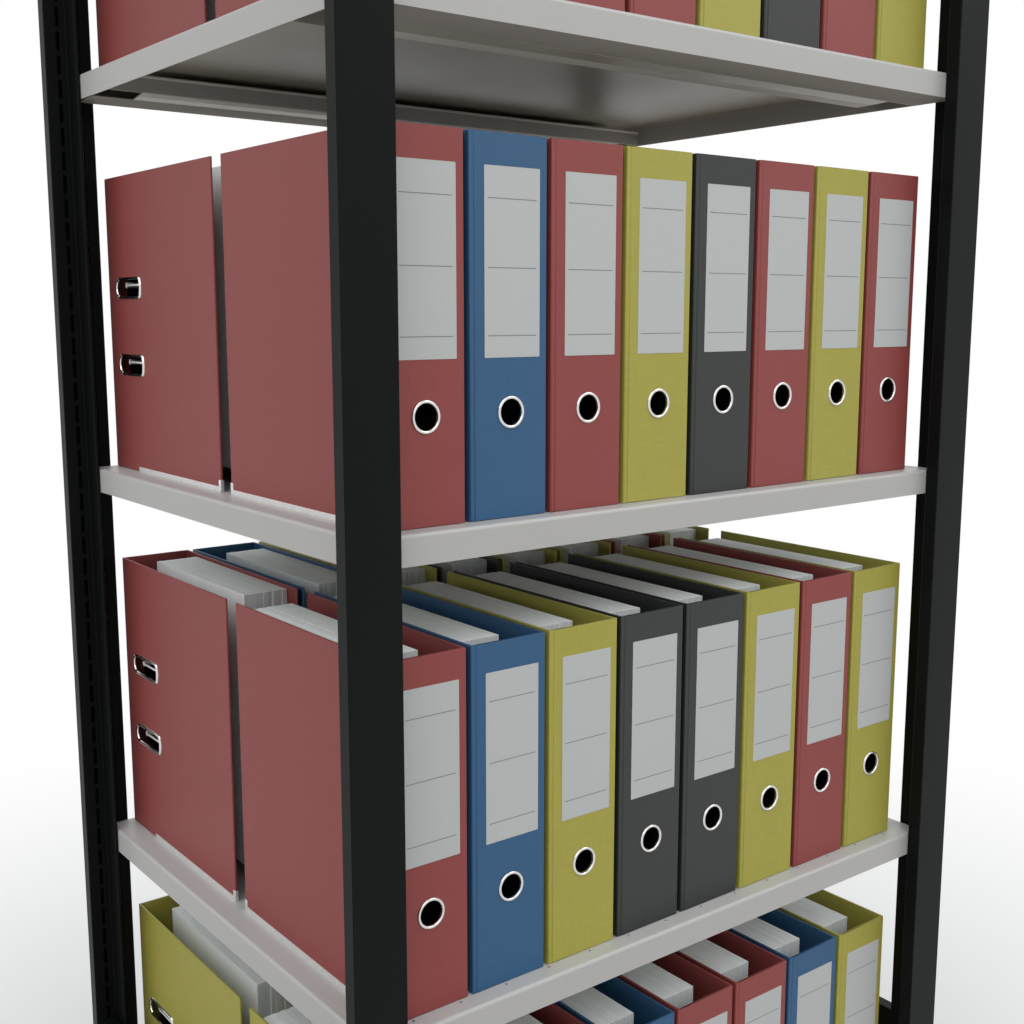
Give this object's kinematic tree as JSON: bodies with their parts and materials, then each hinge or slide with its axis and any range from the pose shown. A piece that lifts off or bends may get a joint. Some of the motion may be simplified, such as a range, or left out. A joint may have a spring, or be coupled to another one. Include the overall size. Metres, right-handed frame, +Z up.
{
  "type": "archive shelving unit",
  "caption": "Boltless two-sided archive shelving bay: slotted T-section uprights, folded steel shelves on blade clips, and rows of lever-arch files that pull out by their spines.",
  "frame": {"origin": "on the floor, under the middle of the unit", "axes": "+X along the shelves to the right seen from the front, +Y from the front to the rear, +Z up"},
  "size_m": [0.805, 0.6316, 1.85],
  "materials": {
    "black_paint": "satin black powder coat",
    "grey_paint": "satin light grey powder coat",
    "zinc_steel": "zinc plated",
    "black_plastic": "moulded, matt",
    "file_red": "wine red grained board covering",
    "file_blue": "dull blue grained board covering",
    "file_yellow": "mustard yellow grained board covering",
    "file_grey": "dark grey grained board covering",
    "paper": "white office paper"
  },
  "bodies": {
    "unit": {"upright_front_left": "black_paint", "foot_front_left": "black_plastic", "upright_front_right": "black_paint", "foot_front_right": "black_plastic", "upright_rear_left": "black_paint", "foot_rear_left": "black_plastic", "upright_rear_right": "black_paint", "foot_rear_right": "black_plastic", "side_tie_left_lower": "black_paint", "side_tie_left_upper": "black_paint", "side_tie_right_lower": "black_paint", "side_tie_right_upper": "black_paint", "shelf_level_1": "grey_paint", "clip_level_1_front_left": "zinc_steel", "clip_level_1_front_right": "zinc_steel", "clip_level_1_rear_left": "zinc_steel", "clip_level_1_rear_right": "zinc_steel", "shelf_level_2": "grey_paint", "clip_level_2_front_left": "zinc_steel", "clip_level_2_front_right": "zinc_steel", "clip_level_2_rear_left": "zinc_steel", "clip_level_2_rear_right": "zinc_steel", "shelf_level_3": "grey_paint", "clip_level_3_front_left": "zinc_steel", "clip_level_3_front_right": "zinc_steel", "clip_level_3_rear_left": "zinc_steel", "clip_level_3_rear_right": "zinc_steel", "shelf_level_4": "grey_paint", "clip_level_4_front_left": "zinc_steel", "clip_level_4_front_right": "zinc_steel", "clip_level_4_rear_left": "zinc_steel", "clip_level_4_rear_right": "zinc_steel", "shelf_level_5": "grey_paint", "clip_level_5_front_left": "zinc_steel", "clip_level_5_front_right": "zinc_steel", "clip_level_5_rear_left": "zinc_steel", "clip_level_5_rear_right": "zinc_steel", "file_row_level_1_front": "file_red", "file_row_level_1_rear": "file_red", "file_row_level_2_front": "file_red", "file_row_level_2_rear": "file_red", "file_row_level_3_rear": "file_red", "file_row_level_4_front": "file_red", "file_row_level_4_rear": "file_red"},
    "file_1": {"file_case_1": "file_red", "file_paper_1": "paper"},
    "file_2": {"file_case_2": "file_blue", "file_paper_2": "paper"},
    "file_3": {"file_case_3": "file_red", "file_paper_3": "paper"},
    "file_4": {"file_case_4": "file_yellow", "file_paper_4": "paper"},
    "file_5": {"file_case_5": "file_grey", "file_paper_5": "paper"},
    "file_6": {"file_case_6": "file_red", "file_paper_6": "paper"},
    "file_7": {"file_case_7": "file_yellow", "file_paper_7": "paper"},
    "file_8": {"file_case_8": "file_red", "file_paper_8": "paper"}
  },
  "joints": [
    {"name": "file_1_pull_out", "type": "slide", "parent": "unit", "child": "file_1", "axis": [0, -1, 0], "range_m": [0, 0.26]},
    {"name": "file_2_pull_out", "type": "slide", "parent": "unit", "child": "file_2", "axis": [0, -1, 0], "range_m": [0, 0.26]},
    {"name": "file_3_pull_out", "type": "slide", "parent": "unit", "child": "file_3", "axis": [0, -1, 0], "range_m": [0, 0.26]},
    {"name": "file_4_pull_out", "type": "slide", "parent": "unit", "child": "file_4", "axis": [0, -1, 0], "range_m": [0, 0.26]},
    {"name": "file_5_pull_out", "type": "slide", "parent": "unit", "child": "file_5", "axis": [0, -1, 0], "range_m": [0, 0.26]},
    {"name": "file_6_pull_out", "type": "slide", "parent": "unit", "child": "file_6", "axis": [0, -1, 0], "range_m": [0, 0.26]},
    {"name": "file_7_pull_out", "type": "slide", "parent": "unit", "child": "file_7", "axis": [0, -1, 0], "range_m": [0, 0.26]},
    {"name": "file_8_pull_out", "type": "slide", "parent": "unit", "child": "file_8", "axis": [0, -1, 0], "range_m": [0, 0.26]}
  ]
}
